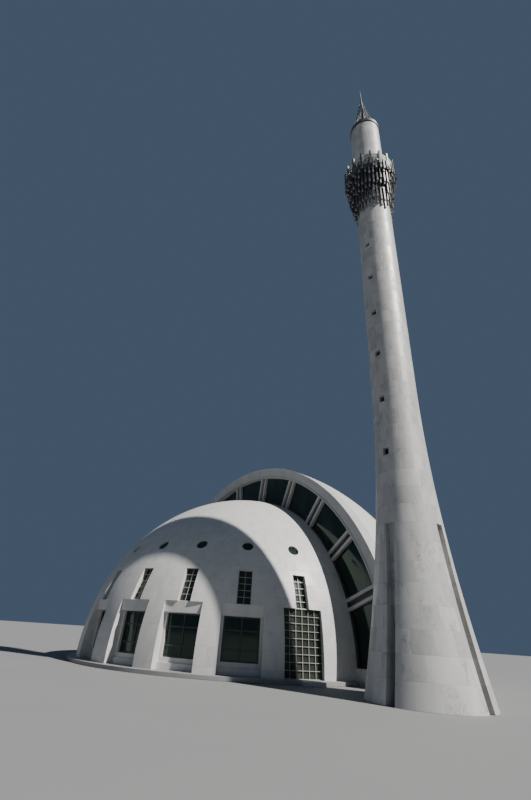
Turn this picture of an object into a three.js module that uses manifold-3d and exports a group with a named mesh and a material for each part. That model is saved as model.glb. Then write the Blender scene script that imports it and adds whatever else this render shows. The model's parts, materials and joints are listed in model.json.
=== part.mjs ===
// Prayer hall of two nested half domes with a glazed crescent between them, and its minaret.
// Millimetres, +Z up. The origin is the centre of the domes on the ground, +X runs along the
// glazed plane towards the minaret, and -Y is the front, where the smaller dome bulges out.
// Heights in the constants count from the top of the hall's plinth, which is lifted at the end.
import * as THREE from 'three';
import { mergeVertices } from 'three/addons/utils/BufferGeometryUtils.js';
import Module from 'manifold-3d';

const wasm = await Module();
wasm.setup();

// Seat left between pieces that touch, and half the seam between neighbouring segments in degrees
const GAP = 0.3;
const SEAM_DEG = 0.002;
const BEYOND = 50000;

// Low plinth that carries the hall: its height, and how far it runs out past each dome
const PLINTH_H = 150;
const PLINTH_FRONT_R = 9050;
const PLINTH_REAR_R = 11660;
const PLINTH_REAR_Y = -400;
const STEP_BLOCK = [950, 260, 150];
const STEP_AZ = 73;

// Both half domes: sphere radius, height of its centre, and what lies past its cut edge. The front
// dome ends at the glass of the crescent, the rear one at the back of the great arch
const SHELL = 580;
const GLAZING_Y = 30;
const ARCH_Y0 = -370;
const ARCH_Y1 = 330;
const halfSpaceY = (y0, y1) => block([-BEYOND, y0, -BEYOND], [BEYOND, y1, BEYOND]);
const FRONT = { name: 'front', r: 8680, centreZ: 250, offcut: () => halfSpaceY(GLAZING_Y - GAP, BEYOND) };
const REAR = { name: 'rear', r: 11290, centreZ: -170, offcut: () => halfSpaceY(-BEYOND, ARCH_Y1 + GAP) };

// Faceting of the domes: steps round, degrees a step up, where the gores end and the crown starts
const ROUND_STEPS = 72;
const BELOW_DEG = -10;
const RISE_STEP_DEG = 6;
const CROWN_DEG = 62;
const CROWN_STEPS = 3;

// Bays: azimuths from the front, the side towards the minaret positive
const BAY_AZ = [0, 19.1, 36.8, 54.5, 72.2];
const REAR_BAYS = [144, 180, 216];
const FRONT_END_AZ = 92;
const REAR_END_AZ = 88;
const BAY_W = 1750;
const BAY_H = 2500;
const SLOT_W = 600;
const SLOT_TOP = 3870;
const BAY_RECESS = 510;
const CUT_OUT = 800;
const CUT_IN = 1600;
const SCREEN_RECESS = 220;
const SCREEN_LEAN = 0.085;
const SCREEN_T = 80;
const BAY_WALL_T = 240;
const SILL_TOP = 420;
const LINTEL_BOTTOM = 2040;
const LINTEL_PROUD = 140;
const LINTEL_REVEAL = 20;
const JAMB = 110;
const FRAME_BAR = 70;
const FRAME_T = 60;
const FRAME_LAP = 40;
const TRANSOM_Z = 1530;
const OCULUS_D = 540;
const OCULUS_Z = 5050;
const OCULUS_SIDES = 12;
const SCREEN_COLUMNS = 3;
const SCREEN_ROWS = 5;
const GLASS = 24;
const GLASS_BEHIND = 200;
const GLASS_TOP = 5600;
const GLASS_STEPS = { round: 36, rise: 8 };
const FRONT_GLASS_AZ = 88;
const REAR_GLASS_PAST_BAY = 8;

// Great arch, and the rim, ribs and glass of the crescent between it and the front dome. Angles
// count up from the +X side, and both ends run below the ground, where they are cut off
const ARCH_R = 11284;
const CRESCENT_ENDS = [-20, 200];
const ARCH_JOINTS = [60, 120];
const ARCH_INNER_R = REAR.r - SHELL;
const RIM_R0 = 8690;
const RIM_R = 8790;
const RIM_Y0 = -60;
const RIBS_A_SIDE = 5;
const RIB_PITCH_DEG = 15.6;
const RIB_W = 520;
const RIB_FLANGE = 140;
const RIB_Y0 = -150;
const RIB_RECESS = 120;
const RIB_END_CLEAR = 18;
const GLAZING_BACK_Y = GLAZING_Y + GLASS;
const CRESCENT_R0 = 8560;
const SILL_H = 450;

// Minaret: its place in plan, radii, heights, grooves and windows
const MINARET = [13245, -2065];
const BASE_R = 1965;
const SHAFT_R = 960;
const TOP_R = 950;
const BORE_R = 700;
const FLARE_H = 11600;
const FLARE_POWER = 2.2;
const FLARE_STEPS = 10;
const MINARET_SIDES = 28;
const GROOVE_AZ = [0.5, 90.5, 180.5, 270.5];
const GROOVE_W = 320;
const GROOVE_FOOT_R = 1270;
const GROOVE_HEAD_R = 1060;
const GROOVE_TOP_Z = 5220;
const WINDOW_W = 260;
const WINDOW_H = 300;
const WINDOW_FIRST_Z = 8070;
const WINDOW_PITCH = 2440;
const WINDOW_ROWS = 6;
const SHAFT_SPLIT_Z = 19200;
const BALCONY_Z = 26750;
const BALCONY_T = 160;
const BALCONY_R = 1510;
const SHAFT_TOP_Z = 32450;
const CAP_H = 420;
const CAP_R = 1000;
const TIP_Z = 38820;

// Balcony rods: one ring of rods each tier, joined by a hoop
const ROD = 90;
const HOOP_Z = 26350;
const HOOP_H = 90;
const RAIL_BELOW_TOP = 350;
const ROD_PROUD = 2;
const TIERS = [
  { r: 1060, bottom: 23400, top: 26500, count: 16 },
  { r: 1200, bottom: 24350, top: 26500, count: 18 },
  { r: 1340, bottom: 25300, top: 26500, count: 20 },
  { r: 1560, bottom: 26000, top: 27750, count: 22 },
];

// Spire on the cap
const NEEDLE_R = 240;
const NEEDLE_WAIST_Z = 36900;
const NEEDLE_SIDES = 8;
const TIP_R = 10;
const SPIKE_COUNT = 16;
const SPIKE_R = 45;
const SPIKE_TIP_R = 8;
const SPIKE_SIDES = 4;
const SPIKE_FOOT_PAD = [60, 40];
const SPIKE_FOOT_R = 880;
const SPIKE_LEAN = 740;
const SPIKE_TOP_Z = 36600;

const rad = THREE.MathUtils.degToRad;

const marble = new THREE.MeshStandardMaterial({ color: 0xd6d3cd, roughness: 0.55, metalness: 0 });
const archStone = new THREE.MeshStandardMaterial({ color: 0xaaa9a6, roughness: 0.6, metalness: 0 });
const darkGlass = new THREE.MeshStandardMaterial({ color: 0x18211e, roughness: 0.08, metalness: 0.1 });
const frameMetal = new THREE.MeshStandardMaterial({ color: 0xd9d9d4, roughness: 0.45, metalness: 0.2 });
const rodMetal = new THREE.MeshStandardMaterial({ color: 0x4a4c4e, roughness: 0.4, metalness: 0.8 });

function solid(geometry) {
  const bare = geometry.index ? geometry.toNonIndexed() : geometry.clone();
  for (const name of Object.keys(bare.attributes)) {
    if (name !== 'position') bare.deleteAttribute(name);
  }
  const merged = mergeVertices(bare, 1e-3);
  return new wasm.Manifold(new wasm.Mesh({
    numProp: 3,
    vertProperties: new Float32Array(merged.attributes.position.array),
    triVerts: new Uint32Array(merged.index.array),
  }));
}

function named(name, body, material) {
  const data = body.getMesh();
  const geometry = new THREE.BufferGeometry();
  geometry.setAttribute('position', new THREE.BufferAttribute(new Float32Array(data.vertProperties), 3));
  geometry.setIndex(new THREE.BufferAttribute(new Uint32Array(data.triVerts), 1));
  geometry.computeVertexNormals();
  const mesh = new THREE.Mesh(geometry, material);
  mesh.name = name;
  return mesh;
}

// A box from its lowest to its highest corner
function block([x0, y0, z0], [x1, y1, z1]) {
  const box = new THREE.BoxGeometry(x1 - x0, y1 - y0, z1 - z0);
  return solid(box.translate((x0 + x1) / 2, (y0 + y1) / 2, (z0 + z1) / 2));
}

// A closed outline in plan, raised from z0 to z1
function prism(points, z0, z1) {
  const shape = new THREE.Shape(points.map(([x, y]) => new THREE.Vector2(x, y)));
  const body = new THREE.ExtrudeGeometry(shape, { depth: z1 - z0, bevelEnabled: false });
  return solid(body.translate(0, 0, z0));
}

// Solid of revolution about +Z from a closed profile of [radius, z] points
function turned(profile, sides) {
  const points = profile.map(([r, z]) => new THREE.Vector2(r, z));
  const lathe = new THREE.LatheGeometry(points, sides);
  return solid(lathe.rotateX(Math.PI / 2));
}

// A point in plan at an azimuth from the front (-Y), +X side positive
function plan(azimuth, r) {
  return [r * Math.sin(rad(azimuth)), -r * Math.cos(rad(azimuth))];
}

// Turns a body built facing the front (-Y) to an azimuth
function faced(body, azimuth) {
  return body.rotate([0, 0, azimuth]);
}

// Spherical shell between two elevations, closed by conical edges
function domeShell(outer, inner, centreZ, fromDeg, toDeg, steps, sides = ROUND_STEPS) {
  const arc = (r) => Array.from({ length: steps + 1 }, (_, i) => {
    const a = rad(fromDeg + (toDeg - fromDeg) * i / steps);
    const onAxis = toDeg === 90 && i === steps;
    return [onAxis ? 0 : r * Math.cos(a), centreZ + r * Math.sin(a)];
  });
  const profile = [...arc(outer), ...arc(inner).reverse()];
  profile.push(profile[0]);
  return turned(profile, sides);
}

// Wedge in plan between two azimuths, reaching past everything
function wedge(az0, az1) {
  const rim = [az0, (az0 + az1) / 2, az1].map((azimuth) => plan(azimuth, BEYOND));
  return prism([[0, 0], ...rim], -BEYOND, BEYOND);
}

const belowPlinth = () => block([-BEYOND, -BEYOND, -BEYOND], [BEYOND, BEYOND, 0]);

// What a bay takes out of a dome: the opening, the narrow slot above it and the round oculus
function bayCut(dome, azimuth) {
  const near = -dome.r - CUT_OUT;
  const far = -dome.r + CUT_IN;
  const opening = block([-BAY_W / 2, near, -BAY_H], [BAY_W / 2, far, BAY_H]);
  const slot = block([-SLOT_W / 2, near, 0], [SLOT_W / 2, far, SLOT_TOP]);
  return faced(opening.add(slot).add(oculusCut(dome)), azimuth);
}

// A round bore square to the sphere
function oculusCut(dome) {
  const elevation = Math.asin((OCULUS_Z - dome.centreZ) / dome.r);
  const bore = new THREE.CylinderGeometry(OCULUS_D / 2, OCULUS_D / 2, CUT_OUT + CUT_IN, OCULUS_SIDES);
  bore.translate(0, dome.r + (CUT_OUT - CUT_IN) / 2, 0);
  bore.rotateX(Math.PI - elevation).translate(0, 0, dome.centreZ);
  return solid(bore);
}

// Shell of a dome from the plinth to the crown, before it is cut into gores
function lowerShell(dome) {
  const steps = Math.round((CROWN_DEG - BELOW_DEG) / RISE_STEP_DEG);
  return domeShell(dome.r, dome.r - SHELL, dome.centreZ, BELOW_DEG, CROWN_DEG, steps)
    .subtract(belowPlinth()).subtract(dome.offcut());
}

// Gores between neighbouring bays, each with half of the opening on either side
function gores(dome, bays, edges) {
  const shell = lowerShell(dome);
  const cuts = bays.map((azimuth) => bayCut(dome, azimuth));
  return edges.slice(1).map((az1, i) => {
    const sector = wedge(edges[i] + SEAM_DEG, az1 - SEAM_DEG);
    const gore = cuts.reduce((body, cut) => body.subtract(cut), shell.intersect(sector));
    return named(`${dome.name}_dome_gore_${i + 1}`, gore, marble);
  });
}

function crown(dome) {
  const cap = domeShell(dome.r, dome.r - SHELL, dome.centreZ, CROWN_DEG + SEAM_DEG, 90, CROWN_STEPS);
  return named(`${dome.name}_dome_crown`, cap.subtract(dome.offcut()), marble);
}

// Sheet of glass behind the bays, standing on the plinth and following the dome
function glassSheet(dome, az0, az1) {
  const r = dome.r - SHELL - GLASS_BEHIND;
  const { rise, round } = GLASS_STEPS;
  const shell = domeShell(r, r - GLASS, dome.centreZ, BELOW_DEG, CROWN_DEG, rise, round);
  const band = block([-BEYOND, -BEYOND, GAP], [BEYOND, BEYOND, GLASS_TOP]);
  const sheet = shell.intersect(band).intersect(wedge(az0, az1)).subtract(dome.offcut());
  return named(`${dome.name}_bay_glass`, sheet, darkGlass);
}

// An upright plate [x0, z0, x1, z1] with holes of the same form, its front facing -Y
function facade(outline, holes, face, thickness) {
  const [y0, y1] = [-face, thickness - face];
  const slab = ([x0, z0, x1, z1], beyond) => block([x0, y0 - beyond, z0], [x1, y1 + beyond, z1]);
  return holes.reduce((plate, hole) => plate.subtract(slab(hole, 1)), slab(outline, 0));
}

// Wall that closes a bay: sill, lintel and jambs round a window, which stands at the back
function bayWall(dome, name, azimuth) {
  const half = BAY_W / 2 - GAP;
  const edge = half - JAMB;
  const bar = FRAME_BAR / 2;
  const face = dome.r - BAY_RECESS;
  const opening = [-edge, SILL_TOP, edge, LINTEL_BOTTOM];
  const wall = facade([-half, GAP, half, BAY_H - GAP], [opening], face, BAY_WALL_T);
  const lintelOutline = [-half, LINTEL_BOTTOM + LINTEL_REVEAL, half, BAY_H - GAP];
  const lintel = facade(lintelOutline, [], face + LINTEL_PROUD, LINTEL_PROUD + BAY_WALL_T);
  const panes = [];
  for (const [x0, x1] of [[-edge + bar, -bar], [bar, edge - bar]]) {
    panes.push([x0, SILL_TOP + bar, x1, TRANSOM_Z - bar], [x0, TRANSOM_Z + bar, x1, LINTEL_BOTTOM - bar]);
  }
  const outline = [-edge - FRAME_LAP, SILL_TOP - FRAME_LAP, edge + FRAME_LAP, LINTEL_BOTTOM + FRAME_LAP];
  const frame = facade(outline, panes, face - BAY_WALL_T + FRAME_T, FRAME_T);
  return named(name, faced(wall.add(lintel).add(frame), azimuth), marble);
}

// Screen of light bars that fills the last bay on either side and leans back with the dome
function screen(dome, name, azimuth) {
  const half = BAY_W / 2 - GAP;
  const pitchX = (2 * half - FRAME_BAR) / SCREEN_COLUMNS;
  const pitchZ = (BAY_H - 2 * GAP - FRAME_BAR) / SCREEN_ROWS;
  const holes = [];
  for (let column = 0; column < SCREEN_COLUMNS; column++) {
    for (let row = 0; row < SCREEN_ROWS; row++) {
      const x = -half + FRAME_BAR + column * pitchX;
      const z = GAP + FRAME_BAR + row * pitchZ;
      holes.push([x, z, x + pitchX - FRAME_BAR, z + pitchZ - FRAME_BAR]);
    }
  }
  const lattice = facade([-half, GAP, half, BAY_H - GAP], holes, dome.r - SCREEN_RECESS, SCREEN_T);
  const mesh = named(name, lattice, frameMetal);
  mesh.geometry.applyMatrix4(new THREE.Matrix4().makeShear(0, 0, 0, 0, 0, SCREEN_LEAN));
  mesh.rotation.z = rad(azimuth);
  return mesh;
}

// Plinth and floor of the hall: a disc under the front dome and a half disc under the rear one,
// with a block against its edge in front of either screen
function plinth() {
  const disc = (r) => turned([[0, -PLINTH_H], [r, -PLINTH_H], [r, 0], [0, 0], [0, -PLINTH_H]], ROUND_STEPS);
  const rear = disc(PLINTH_REAR_R).intersect(halfSpaceY(PLINTH_REAR_Y, BEYOND));
  let slab = disc(PLINTH_FRONT_R).add(rear);
  const [width, depth, height] = STEP_BLOCK;
  const front = -PLINTH_FRONT_R - depth;
  const step = block([-width / 2, front, -PLINTH_H], [width / 2, -FRONT.r, height - PLINTH_H]);
  for (const side of [-1, 1]) slab = slab.add(faced(step, side * STEP_AZ));
  return named('hall_plinth', slab, marble);
}

// A half ring standing in the glazed plane: radii about a dome's centre, between two depths
function standingRing(r0, r1, y0, y1, dome = REAR) {
  const ring = turned([[r0, y0], [r1, y0], [r1, y1], [r0, y1], [r0, y0]], ROUND_STEPS);
  return ring.rotate([90, 0, 0]).mirror([0, 1, 0]).translate([0, 0, dome.centreZ]).subtract(belowPlinth());
}

// What the front dome fills of the glazed plane
const behindFront = () => standingRing(0, RIM_R0, -BEYOND, BEYOND, FRONT);

// Wedge standing in the glazed plane between two angles above the +X side
function standingWedge(deg0, deg1) {
  const corner = (deg) => [BEYOND * Math.cos(rad(deg)), BEYOND * Math.sin(rad(deg))];
  const fan = prism([[0, 0], corner(deg0), corner((deg0 + deg1) / 2), corner(deg1)], -BEYOND, BEYOND);
  return fan.rotate([90, 0, 0]).translate([0, 0, REAR.centreZ]);
}

// Great arch in three segments
function greatArch() {
  const ring = standingRing(ARCH_INNER_R, ARCH_R, ARCH_Y0, ARCH_Y1);
  const ends = [CRESCENT_ENDS[0], ...ARCH_JOINTS, CRESCENT_ENDS[1]];
  return ['right', 'top', 'left'].map((side, i) => {
    const [deg0, deg1] = ends.slice(i, i + 2);
    const segment = ring.intersect(standingWedge(deg0 + SEAM_DEG, deg1 - SEAM_DEG));
    return named(`great_arch_${side}`, segment, archStone);
  });
}

// One radial rib: a beam with two flanges in front of a recessed web
function rib(deg) {
  const beam = block([CRESCENT_R0, RIB_Y0, -RIB_W / 2], [ARCH_INNER_R - RIB_END_CLEAR, GLAZING_Y, RIB_W / 2]);
  const reach = RIB_W / 2 - RIB_FLANGE;
  const web = block([0, -BEYOND, -reach], [BEYOND, RIB_Y0 + RIB_RECESS, reach]);
  return beam.subtract(web).rotate([0, -deg, 0]).translate([0, 0, REAR.centreZ]);
}

const CRESCENT_HALVES = [['right', CRESCENT_ENDS[0], 90, 1], ['left', 90, CRESCENT_ENDS[1], -1]];

// Rim along the edge of the front dome with its ribs, one half on each side of the top
function crescentFrames() {
  const aboveSill = block([-BEYOND, -BEYOND, SILL_H + GAP], [BEYOND, BEYOND, BEYOND]);
  const rim = standingRing(RIM_R0, RIM_R, RIM_Y0, GLAZING_Y, FRONT).intersect(aboveSill);
  return CRESCENT_HALVES.map(([side, deg0, deg1, sign]) => {
    let frame = rim.intersect(standingWedge(deg0 + SEAM_DEG, deg1 - SEAM_DEG));
    for (let i = 0; i < RIBS_A_SIDE; i++) {
      frame = frame.add(rib(90 - sign * RIB_PITCH_DEG * (i + 0.5)).subtract(behindFront()));
    }
    return named(`crescent_frame_${side}`, frame, archStone);
  });
}

function crescentGlass() {
  const ring = standingRing(CRESCENT_R0, ARCH_INNER_R - 2 * GAP, GLAZING_Y + GAP, GLAZING_BACK_Y);
  const aboveSill = block([-BEYOND, -BEYOND, SILL_H + GAP], [BEYOND, BEYOND, BEYOND]);
  return CRESCENT_HALVES.map(([side, deg0, deg1]) => {
    const pane = ring.intersect(standingWedge(deg0 + SEAM_DEG, deg1 - SEAM_DEG)).intersect(aboveSill);
    return named(`crescent_glass_${side}`, pane, darkGlass);
  });
}

// Low walls under the feet of the crescent, between the front dome and the great arch
function sills() {
  const ring = standingRing(0, ARCH_INNER_R - 2 * GAP, RIB_Y0, GLAZING_BACK_Y).subtract(behindFront());
  return [['right', 0, BEYOND], ['left', -BEYOND, 0]].map(([side, x0, x1]) => {
    const foot = block([x0, -BEYOND, 0], [x1, BEYOND, SILL_H]);
    return named(`crescent_sill_${side}`, ring.intersect(foot), marble);
  });
}

// Radius of the minaret at a height: a flare that dies out into the straight shaft
function minaretRadius(z) {
  const left = Math.max(0, 1 - z / FLARE_H);
  return SHAFT_R + (BASE_R - SHAFT_R) * Math.pow(left, FLARE_POWER);
}

function onMinaret(body) {
  return body.translate([...MINARET, 0]);
}

function tube(r, z0, z1) {
  return turned([[BORE_R, z0], [r, z0], [r, z1], [BORE_R, z1], [BORE_R, z0]], MINARET_SIDES);
}

// Small windows in a column above the front groove
function minaretWindows() {
  return Array.from({ length: WINDOW_ROWS }, (_, i) => {
    const z = WINDOW_FIRST_Z + i * WINDOW_PITCH;
    const hole = block([-WINDOW_W / 2, -BASE_R, z - WINDOW_H / 2], [WINDOW_W / 2, 0, z + WINDOW_H / 2]);
    return faced(hole, GROOVE_AZ[0]);
  });
}

// A groove of the base, facing the front: its bed leans in to a squared head
function groove() {
  const [foot, head] = [[-GROOVE_FOOT_R, -PLINTH_H - GAP], [-GROOVE_HEAD_R, GROOVE_TOP_Z]];
  const section = [[-2 * BASE_R, foot[1]], foot, head, [-2 * BASE_R, head[1]]];
  return prism(section, -GROOVE_W / 2, GROOVE_W / 2).rotate([90, 0, 90]);
}

function minaretBase() {
  const flare = Array.from({ length: FLARE_STEPS + 1 }, (_, i) => {
    const z = -PLINTH_H + (FLARE_H + PLINTH_H) * i / FLARE_STEPS;
    return [minaretRadius(z), z];
  });
  const profile = [[BORE_R, -PLINTH_H], ...flare, [BORE_R, FLARE_H], [BORE_R, -PLINTH_H]];
  let base = turned(profile, MINARET_SIDES);
  for (const azimuth of GROOVE_AZ) base = base.subtract(faced(groove(), azimuth));
  return base;
}

function minaretShaft() {
  const pieces = [
    ['minaret_base', minaretBase()],
    ['minaret_shaft_lower', tube(SHAFT_R, FLARE_H, SHAFT_SPLIT_Z)],
    ['minaret_shaft_upper', tube(SHAFT_R, SHAFT_SPLIT_Z, BALCONY_Z)],
    ['minaret_lantern', tube(TOP_R, BALCONY_Z + BALCONY_T, SHAFT_TOP_Z)],
  ];
  return pieces.map(([name, body]) => {
    const cut = minaretWindows().reduce((rest, hole) => rest.subtract(hole), body);
    return named(name, onMinaret(cut), marble);
  });
}

// A ring about the minaret's axis between two radii and two heights
function hoop(r0, r1, z0, z1) {
  return turned([[r0, z0], [r1, z0], [r1, z1], [r0, z1], [r0, z0]], MINARET_SIDES);
}

// One tier of the balcony: a ring of square rods, tied by a hoop below and a rail near their tops
function rodTier({ r, bottom, top, count }, tier, inner) {
  const outer = r + ROD / 2;
  let rods = hoop(inner, outer, HOOP_Z, HOOP_Z + HOOP_H);
  if (top > BALCONY_Z) {
    const rail = top - RAIL_BELOW_TOP;
    rods = rods.add(hoop(r - ROD / 4, outer, rail, rail + HOOP_H));
  }
  for (let i = 0; i < count; i++) {
    const rod = block([-ROD / 2, -outer - ROD_PROUD, bottom], [ROD / 2, -r + ROD / 2, top]);
    rods = rods.add(faced(rod, 360 * (i + 0.5 * (tier % 2)) / count));
  }
  return rods;
}

function balcony() {
  const floor = hoop(BORE_R, BALCONY_R, BALCONY_Z, BALCONY_Z + BALCONY_T);
  const pieces = [named('balcony_floor', onMinaret(floor), archStone)];
  let inner = SHAFT_R + GAP;
  TIERS.forEach((size, tier) => {
    pieces.push(named(`balcony_rods_${tier + 1}`, onMinaret(rodTier(size, tier, inner)), rodMetal));
    const corner = Math.hypot(size.r + ROD / 2 + ROD_PROUD, ROD / 2);
    inner = (corner + GAP) / Math.cos(Math.PI / MINARET_SIDES);
  });
  return pieces;
}

// A thin spike that stands at the rim of the cap and leans in to the needle
function spike(foot) {
  const height = SPIKE_TOP_Z - foot;
  const length = Math.hypot(height, SPIKE_LEAN);
  const cone = new THREE.CylinderGeometry(SPIKE_TIP_R, SPIKE_R, length, SPIKE_SIDES);
  cone.translate(0, length / 2, 0).rotateX(Math.PI / 2 - Math.atan2(SPIKE_LEAN, height));
  return solid(cone.translate(0, -SPIKE_FOOT_R, foot));
}

// Closed cap on the shaft, and the cluster of spikes round a needle that stands on it
function minaretTop() {
  const capTop = SHAFT_TOP_Z + CAP_H;
  const cap = hoop(0, CAP_R, SHAFT_TOP_Z, capTop);
  const [padOut, padHigh] = SPIKE_FOOT_PAD;
  let spire = turned([[0, capTop], [NEEDLE_R, capTop], [NEEDLE_R / 3, NEEDLE_WAIST_Z], [TIP_R, TIP_Z],
    [0, TIP_Z], [0, capTop]], NEEDLE_SIDES);
  spire = spire.add(hoop(0, SPIKE_FOOT_R + padOut, capTop, capTop + padHigh));
  for (let i = 0; i < SPIKE_COUNT; i++) {
    spire = spire.add(faced(spike(capTop), 360 * i / SPIKE_COUNT));
  }
  spire = spire.subtract(block([-BEYOND, -BEYOND, -BEYOND], [BEYOND, BEYOND, capTop]));
  return [named('minaret_cap', onMinaret(cap), rodMetal), named('minaret_spire', onMinaret(spire), rodMetal)];
}

const mirrored = BAY_AZ.slice(1).map((azimuth) => -azimuth).reverse();
const FRONT_BAYS = [...mirrored, ...BAY_AZ];

function frontHall() {
  const walls = FRONT_BAYS.map((azimuth, i) => {
    const last = i === 0 || i === FRONT_BAYS.length - 1;
    const make = last ? screen : bayWall;
    return make(FRONT, last ? `grid_screen_${i ? 'right' : 'left'}` : `bay_wall_${i}`, azimuth);
  });
  return [
    ...gores(FRONT, FRONT_BAYS, [-FRONT_END_AZ, ...FRONT_BAYS, FRONT_END_AZ]),
    crown(FRONT),
    ...walls,
    glassSheet(FRONT, -FRONT_GLASS_AZ, FRONT_GLASS_AZ),
  ];
}

function rearHall() {
  return [
    ...gores(REAR, REAR_BAYS, [REAR_END_AZ, ...REAR_BAYS, 360 - REAR_END_AZ]),
    crown(REAR),
    ...REAR_BAYS.map((azimuth, i) => bayWall(REAR, `rear_bay_wall_${i + 1}`, azimuth)),
    glassSheet(REAR, REAR_BAYS[0] - REAR_GLASS_PAST_BAY, REAR_BAYS.at(-1) + REAR_GLASS_PAST_BAY),
  ];
}

const building = new THREE.Group().add(
  plinth(),
  ...frontHall(),
  ...rearHall(),
  ...greatArch(),
  ...crescentFrames(),
  ...crescentGlass(),
  ...sills(),
  ...minaretShaft(),
  ...balcony(),
  ...minaretTop(),
);
building.position.z = PLINTH_H;

export default building;
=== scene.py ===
"""Looks of a domed prayer hall and its minaret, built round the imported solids.

Metres, +Z up. The origin is the centre of the domes on the ground, +X runs along the glazed
plane towards the minaret, and -Y is the front, where the smaller dome bulges out. A bay is
built facing -Y and then turned to its azimuth, the side towards the minaret positive.
"""

import json
import logging
import math
from collections.abc import Iterable, Sequence
from dataclasses import dataclass
from enum import Enum
from typing import Any

import bmesh
import bpy
import numpy as np
from mathutils import Matrix, Vector

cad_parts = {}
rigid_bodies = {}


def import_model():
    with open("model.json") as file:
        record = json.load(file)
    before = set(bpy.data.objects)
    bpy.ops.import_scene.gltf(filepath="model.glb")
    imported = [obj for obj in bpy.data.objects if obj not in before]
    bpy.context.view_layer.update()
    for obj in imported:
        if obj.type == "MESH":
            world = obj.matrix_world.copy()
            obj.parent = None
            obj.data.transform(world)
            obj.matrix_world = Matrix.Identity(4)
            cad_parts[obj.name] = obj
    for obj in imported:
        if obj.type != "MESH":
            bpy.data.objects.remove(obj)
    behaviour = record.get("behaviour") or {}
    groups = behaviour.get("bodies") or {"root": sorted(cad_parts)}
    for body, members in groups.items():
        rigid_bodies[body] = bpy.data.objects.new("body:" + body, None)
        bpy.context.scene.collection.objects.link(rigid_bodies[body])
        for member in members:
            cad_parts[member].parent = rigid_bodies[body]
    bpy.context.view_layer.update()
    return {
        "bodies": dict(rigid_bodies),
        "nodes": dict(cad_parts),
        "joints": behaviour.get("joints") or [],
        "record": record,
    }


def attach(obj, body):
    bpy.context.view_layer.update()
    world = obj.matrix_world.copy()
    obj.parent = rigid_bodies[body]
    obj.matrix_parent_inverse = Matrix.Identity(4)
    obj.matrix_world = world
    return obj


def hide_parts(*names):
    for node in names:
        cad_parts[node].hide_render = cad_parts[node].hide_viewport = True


LOG = logging.getLogger("prayer_hall")

# Metres and degrees. Each dome is a sphere of radius R with its centre at height Z on the axis,
# cut by an upright plane at a distance from the axis.
PLINTH_TOP = 0.15
FRONT_R, FRONT_Z, FRONT_CUT = 8.68, 0.40, 1e-6
REAR_R, REAR_Z, REAR_CUT = 11.29, -0.02, 0.3303
FRONT_BAYS = (-72.2, -54.5, -36.8, -19.1, 0.0, 19.1, 36.8, 54.5, 72.2)
REAR_BAYS = (144.0, 180.0, 216.0)
TOWER_CENTRE = (13.245, -2.065)
UP = np.array([0.0, 0.0, 1.0])
MERGE_DISTANCE = 1e-5
BEVEL_FROM = math.radians(40)

Triple = tuple[float, float, float]
Colour = Triple
Pair = tuple[float, float]
Line = tuple[Pair, Pair]


class Slot(Enum):
    """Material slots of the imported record."""

    MARBLE = "marble"
    ARCH_STONE = "arch_stone"
    GLASS = "glass"
    SCREEN = "screen"
    DARK_METAL = "dark_metal"


def numbered(prefix: str, count: int) -> list[str]:
    """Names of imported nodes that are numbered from 1."""
    return [f"{prefix}_{i}" for i in range(1, count + 1)]


# Meshes


@dataclass(frozen=True)
class Shape:
    """A mesh in the making: its points, and its faces in blocks of one corner count each."""

    points: np.ndarray
    faces: tuple[np.ndarray, ...]

    def turned(self, azimuth: float) -> "Shape":
        """The shape turned about +Z from facing the front to an azimuth in degrees."""
        a = math.radians(azimuth)
        turn = np.array([[math.cos(a), -math.sin(a), 0], [math.sin(a), math.cos(a), 0], [0, 0, 1]])
        return Shape(self.points @ turn.T, self.faces)

    def moved(self, shift: Sequence[float]) -> "Shape":
        """The shape moved by a vector."""
        return Shape(self.points + np.asarray(shift, float), self.faces)


def joined(shapes: Iterable[Shape]) -> Shape:
    """Several shapes as one.

    Args:
        shapes: The shapes, in order.

    Returns:
        One shape that holds all their points and faces.
    """
    points, faces, start = [], [], 0
    for shape in shapes:
        points.append(shape.points)
        faces.extend(block + start for block in shape.faces)
        start += len(shape.points)
    return Shape(np.concatenate(points), tuple(faces))


def repeated(shape: Shape, azimuths: Iterable[float]) -> Shape:
    """A front-facing shape repeated at each azimuth."""
    return joined([shape.turned(azimuth) for azimuth in azimuths])


def points_of(*parts: Any) -> np.ndarray:
    """Points from their x, y and z, each an array or one number for all."""
    return np.stack(np.broadcast_arrays(*parts), axis=-1)


def surface(points: np.ndarray, close_rows: bool = False, close_columns: bool = False) -> Shape:
    """A grid of quads over a rows x columns x 3 array of points.

    Args:
        points: The points of the surface, each a function of its row and column.
        close_rows: Whether the last row joins the first.
        close_columns: Whether the last column joins the first.

    Returns:
        The surface as a shape.
    """
    rows, columns = points.shape[:2]
    i = np.arange(rows if close_rows else rows - 1)
    j = np.arange(columns if close_columns else columns - 1)
    i0, j0 = (g.ravel() for g in np.meshgrid(i, j, indexing="ij"))
    i1, j1 = (i0 + 1) % rows, (j0 + 1) % columns
    corners = [i0 * columns + j0, i0 * columns + j1, i1 * columns + j1, i1 * columns + j0]
    return Shape(points.reshape(-1, 3), (np.stack(corners, axis=1),))


def capped(rings: np.ndarray) -> Shape:
    """A body carried from ring to ring, with its first and last ring as ends.

    Args:
        rings: Rings x corners x 3 array of points.

    Returns:
        The closed body.
    """
    side = surface(rings, close_columns=True)
    ring = np.arange(rings.shape[1])
    ends = np.stack([ring[::-1], ring + len(side.points) - len(ring)])
    return Shape(side.points, (*side.faces, ends))


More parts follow.
